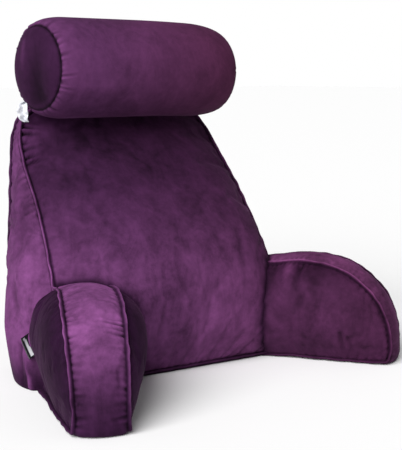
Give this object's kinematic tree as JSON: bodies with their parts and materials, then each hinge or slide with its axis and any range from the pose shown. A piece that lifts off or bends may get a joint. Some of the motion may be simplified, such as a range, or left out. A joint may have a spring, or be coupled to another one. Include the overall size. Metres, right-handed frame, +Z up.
{
  "type": "backrest pillow",
  "caption": "Backrest reading pillow in purple velvet: a wedge back, splayed arms and a neck roll on its top edge.",
  "frame": {"origin": "middle of the back cushion's flat base, on the surface that the pillow stands on", "axes": "+Z up, the front faces -Y, +X to the viewer's right from the front"},
  "size_m": [0.7658, 0.4931, 0.64],
  "materials": {
    "back_velvet": "short-pile velvet with a brushed nap",
    "arm_velvet": "short-pile velvet with a brushed nap",
    "roll_velvet": "short-pile velvet with a brushed nap",
    "strap_ribbon": "white woven ribbon",
    "label_weave": "black woven tab with a bare pale patch"
  },
  "bodies": {
    "root": {"back_cushion": "back_velvet", "arm_left": "arm_velvet", "arm_right": "arm_velvet", "neck_roll": "roll_velvet", "roll_strap": "strap_ribbon", "side_label": "label_weave"}
  },
  "joints": []
}
